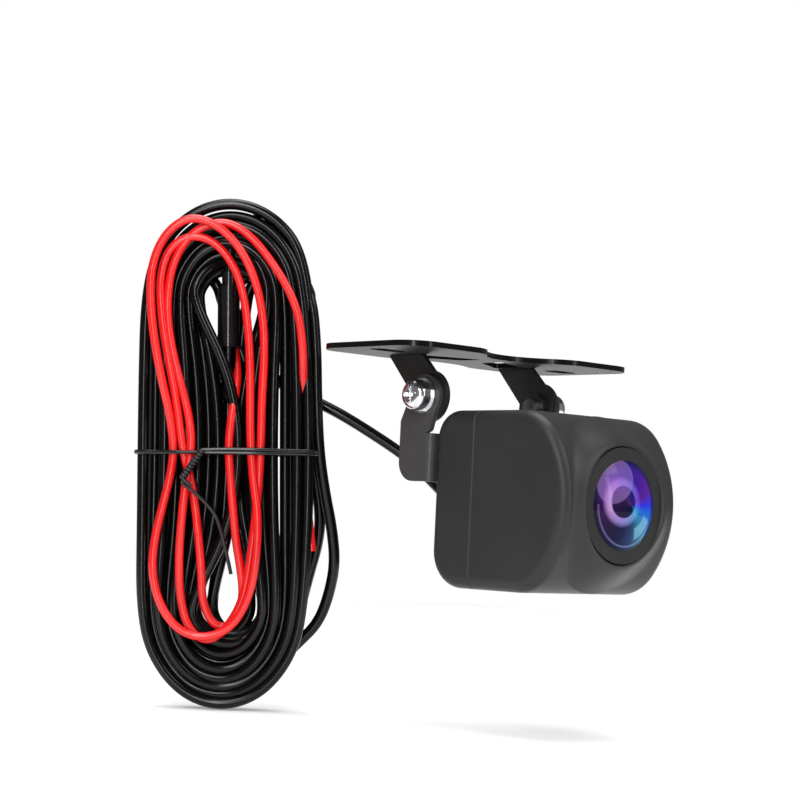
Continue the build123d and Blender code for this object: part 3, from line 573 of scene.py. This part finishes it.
tie_local = list(reversed(TIE_TAIL)) + twist(TIE_TWIST_END, TIE_KNOT, 0.0)
for lap, offset in enumerate(TIE_LAPS):
    for step, (u, h) in enumerate(TIE_RING[1:] if lap == 0 else TIE_RING):
        slip = offset - TIE_LAP_DROP * step / len(TIE_RING) if lap == 0 else offset
        tie_local.append((u, slip - TIE_TILT * u, h))
tie_local += twist(TIE_KNOT, TIE_TWIST_END, pi) + TIE_STUB
tie_places = [in_hank(*place) for place in tie_local]
tie, _ = tube("twist_tie_wire", tie_places, TIE_WIRE_D, FINISHES["tie_black"], sides=10)
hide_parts("twist_tie")
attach(tie, "plate")

# ---------------------------------------------------------------- lens surround
# The housing's front and its bulge, then the skin's reach, seat and blend, and the shape of its cone
BODY_FRONT = -33.3
FRONT_BULGE_R = 18.4
SURROUND_IN = 9.42
SURROUND_OUT = 14.2
SURROUND_FLAT = 11.9
SURROUND_SEAT = -33.2
SURROUND_BLEND = 3.0
SURROUND_SKIN = 0.03
SURROUND_LIP = 0.3
SURROUND_SLOPE = 0.9
SURROUND_CURVE = 1.35
SURROUND_TUCK = 2.2


def surround_y(r, z):
    """The housing's bulge and a cone round the lens ring, run together in one smooth surface."""
    bulge = FRONT_BULGE_R - (FRONT_BULGE_R ** 2 - z ** 2) ** 0.5 + BODY_FRONT
    cone = SURROUND_SEAT + SURROUND_SLOPE * max(r - SURROUND_IN - SURROUND_LIP, 0) ** SURROUND_CURVE
    share = max(SURROUND_BLEND - abs(bulge - cone), 0) / SURROUND_BLEND
    return min(bulge, cone) - share ** 2 * SURROUND_BLEND / 4 - SURROUND_SKIN


def lens_surround(steps=160, rings=22):
    """The soft pad of the housing round the lens ring, as a smooth skin over the bulging front."""
    places, faces = [], []
    for step in range(steps):
        angle = 2 * pi * step / steps
        out = min(SURROUND_OUT, SURROUND_FLAT / max(abs(cos(angle)), 0.01))
        for ring in range(rings):
            r = SURROUND_IN + (out - SURROUND_IN) * max(ring - 1, 0) / (rings - 2)
            z = r * sin(angle)
            y = surround_y(r, z) if ring else SURROUND_SEAT + SURROUND_TUCK
            places.append((r * cos(angle) * MM, y * MM, (LENS_AXIS_Z + z) * MM))
        here, after = step * rings, (step + 1) % steps * rings
        faces += [(here + i, here + i + 1, after + i + 1, after + i) for i in range(rings - 1)]
    mesh = bpy.data.meshes.new("lens_surround")
    mesh.from_pydata(places, [], faces)
    mesh.shade_smooth()
    mesh.materials.append(FINISHES["housing_black"])
    piece = bpy.data.objects.new("lens_surround", mesh)
    bpy.context.collection.objects.link(piece)
    return piece


surround = lens_surround()
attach(surround, "camera")

# ---------------------------------------------------------------- edges of the pressed pieces
ROLLED_EDGE = 0.16
for name in ("mounting_plate", "yoke"):
    rounding = nodes[name].modifiers.new("rolled_edge", "BEVEL")
    rounding.width = ROLLED_EDGE * MM
    rounding.segments = 2
    rounding.limit_method = "ANGLE"
    rounding.angle_limit = radians(50)

# ---------------------------------------------------------------- floor, light and camera
FLOOR_HALF = 0.4
FLOOR_GAP = 0.0002
FLOOR_GLOW = 0.24
AIR_LIGHT = 0.2
AIR_SHOWN = 1.0
floor_height = min(corner[2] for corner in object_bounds()) - FLOOR_GAP
floor_mesh = bpy.data.meshes.new("studio_floor")
floor_mesh.from_pydata([(across * FLOOR_HALF, along * FLOOR_HALF, floor_height)
                        for across, along in ((-1, -1), (1, -1), (1, 1), (-1, 1))], [], [(0, 1, 2, 3)])
floor = bpy.data.objects.new("studio_floor", floor_mesh)
floor.data.materials.append(moulded("matt_white_floor", "f2f2f2", "eeeeee", 40.0, 0.01, (0.8, 0.9), cloud=200.0,
                                    **{"Emission Color": (1, 1, 1, 1), "Emission Strength": FLOOR_GLOW}))
bpy.context.collection.objects.link(floor)
floor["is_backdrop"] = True

world = bpy.data.worlds.new("studio_air")
world.use_nodes = True
air = world.node_tree
air.nodes.clear()
seen = node(air, "ShaderNodeLightPath")
lit = node(air, "ShaderNodeBackground", {"Color": (1, 1, 1, 1), "Strength": AIR_LIGHT})
shown = node(air, "ShaderNodeBackground", {"Color": (1, 1, 1, 1), "Strength": AIR_SHOWN})
either = node(air, "ShaderNodeMixShader",
              links={0: seen.outputs["Is Camera Ray"], 1: lit.outputs[0], 2: shown.outputs[0]})
node(air, "ShaderNodeOutputWorld", links={"Surface": either.outputs[0]})
bpy.context.scene.world = world

LAMPS = [
    # name, place, aimed at, width, height, watts
    ("key_box", (-0.55, -0.30, 0.50), (-0.01, -0.01, -0.02), 0.30, 0.40, 2.6),
    ("tall_strip", (-0.50, -0.44, 0.12), (-0.01, -0.01, -0.02), 0.06, 0.50, 1.8),
    ("right_strip", (0.18, -0.62, 0.05), (-0.02, 0.01, -0.02), 0.06, 0.50, 0.7),
    ("front_box", (0.30, -0.75, 0.66), (0.0, -0.02, -0.02), 0.50, 0.40, 3.2),
    ("top_box", (0.0, 0.05, 0.80), (0.0, 0.0, -0.02), 0.60, 0.60, 7.0),
]
for name, place, aim, width, height, watts in LAMPS:
    lamp = bpy.data.lights.new(name, "AREA")
    lamp.shape = "RECTANGLE"
    lamp.size = width
    lamp.size_y = height
    lamp.energy = watts
    holder = bpy.data.objects.new(name, lamp)
    facing = Vector(aim) - Vector(place)
    holder.matrix_world = Matrix.Translation(place) @ facing.to_track_quat("-Z", "Y").to_matrix().to_4x4()
    bpy.context.collection.objects.link(holder)

VIEW_AZIMUTH = radians(-43.17)
VIEW_ELEVATION = radians(-3.48)
VIEW_ROLL = radians(2.74)
EYE = (-0.25023, -0.24746, -0.0295)
SENSOR_WIDTH = 36
FOCAL_LENGTH = 93.1
back = Vector((sin(VIEW_AZIMUTH) * cos(VIEW_ELEVATION), -cos(VIEW_AZIMUTH) * cos(VIEW_ELEVATION),
               sin(VIEW_ELEVATION)))
level = Vector((cos(VIEW_AZIMUTH), sin(VIEW_AZIMUTH), 0))
upright = back.cross(level)
right = level * cos(VIEW_ROLL) + upright * sin(VIEW_ROLL)
up = back.cross(right)
camera_data = bpy.data.cameras.new("product_camera")
camera_data.sensor_width = SENSOR_WIDTH
camera_data.lens = FOCAL_LENGTH
camera_data.clip_start = 0.01
camera = bpy.data.objects.new("product_camera", camera_data)
camera.matrix_world = Matrix.Translation(EYE) @ Matrix((right, up, back)).transposed().to_4x4()
bpy.context.collection.objects.link(camera)
bpy.context.scene.camera = camera
bpy.context.scene.view_settings.view_transform = "Standard"
